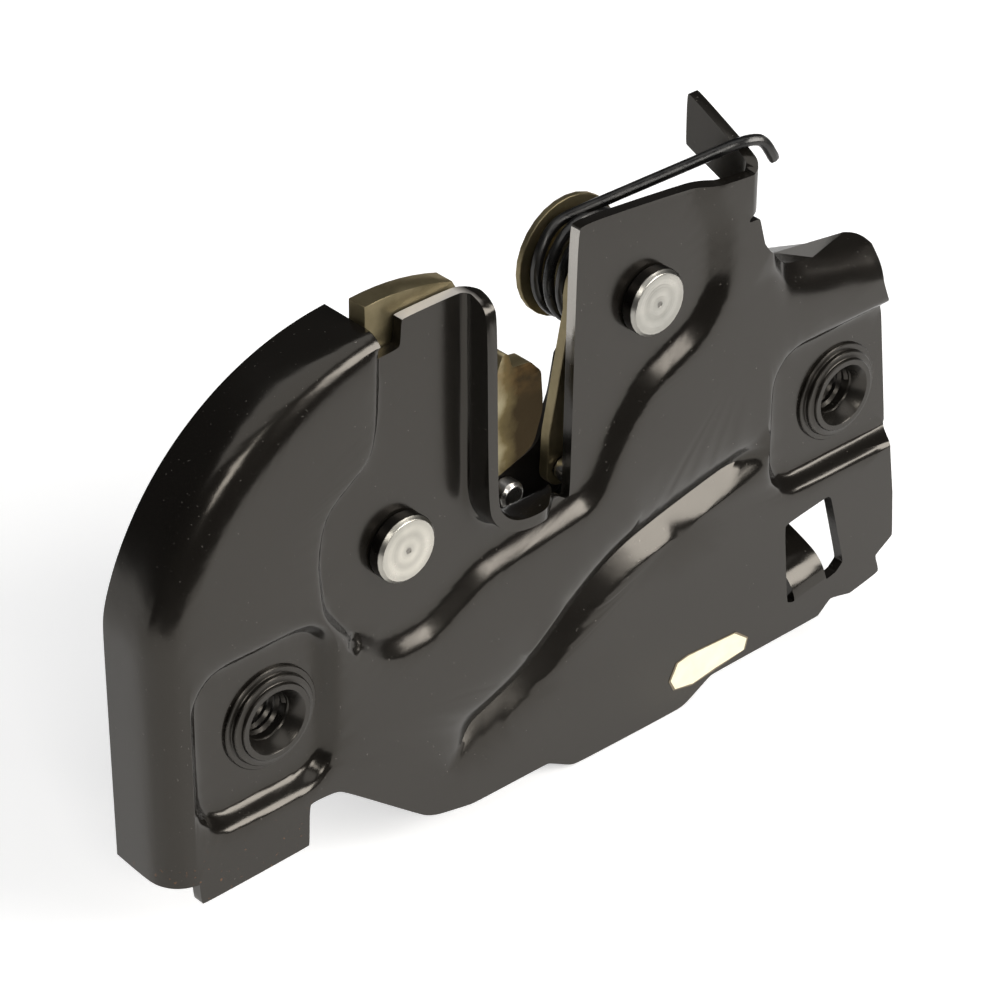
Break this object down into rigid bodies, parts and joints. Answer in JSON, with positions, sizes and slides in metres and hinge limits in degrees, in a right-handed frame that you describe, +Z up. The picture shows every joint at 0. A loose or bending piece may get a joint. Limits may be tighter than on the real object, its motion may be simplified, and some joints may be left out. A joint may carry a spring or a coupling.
{
  "type": "bonnet latch",
  "caption": "Pressed steel bonnet latch plate with a striker slot, a turning fork, a pin-and-lever detent, torsion springs and threaded bolt pads.",
  "frame": {"origin": "on the front plate's front face, between the two bolt holes", "axes": "+X along the plate towards the cable window, +Y away from the front face towards the mechanism, +Z up towards the open end of the striker slot"},
  "size_m": [0.1293, 0.0224, 0.0856],
  "materials": {
    "black_coat": "satin black coating on pressed steel",
    "dark_coat": "matt black coating on steel",
    "yellow_zinc": "yellow zinc plated steel",
    "bright_zinc": "bright zinc plated, turned",
    "black_spring_steel": "black oiled spring steel"
  },
  "bodies": {
    "frame": {"front_plate": "black_coat", "back_plate": "dark_coat", "fork_rivet": "bright_zinc", "fork_rivet_washer": "bright_zinc", "fork_spacer": "dark_coat", "pawl_rivet": "bright_zinc", "pawl_rivet_washer": "bright_zinc", "pawl_spacer": "bright_zinc", "spring_bush": "yellow_zinc", "pawl_spring": "black_spring_steel", "fork_spring": "black_spring_steel", "weld_nut_left": "dark_coat", "weld_nut_right": "dark_coat", "pawl_stop_pin": "bright_zinc", "fork_stop_pin": "bright_zinc"},
    "fork": {"fork": "yellow_zinc", "fork_spring_peg": "bright_zinc"},
    "pawl": {"pawl_lever": "yellow_zinc", "detent_pin": "bright_zinc", "cable_bush": "dark_coat"}
  },
  "joints": [
    {"name": "fork_turn", "type": "hinge", "parent": "frame", "child": "fork", "pos_m": [-0.025, 0.005, 0.012], "axis": [0, 1, 0], "range_deg": [0, 45], "stiffness_Nm_per_rad": 0.08, "springref_deg": -60.16, "deforming": ["fork_spring"]},
    {"name": "pawl_turn", "type": "hinge", "parent": "frame", "child": "pawl", "pos_m": [0.0175, 0.0076, 0.0307], "axis": [0, 1, 0], "range_deg": [-2.5, 10], "stiffness_Nm_per_rad": 0.3, "deforming": ["pawl_spring"]}
  ]
}
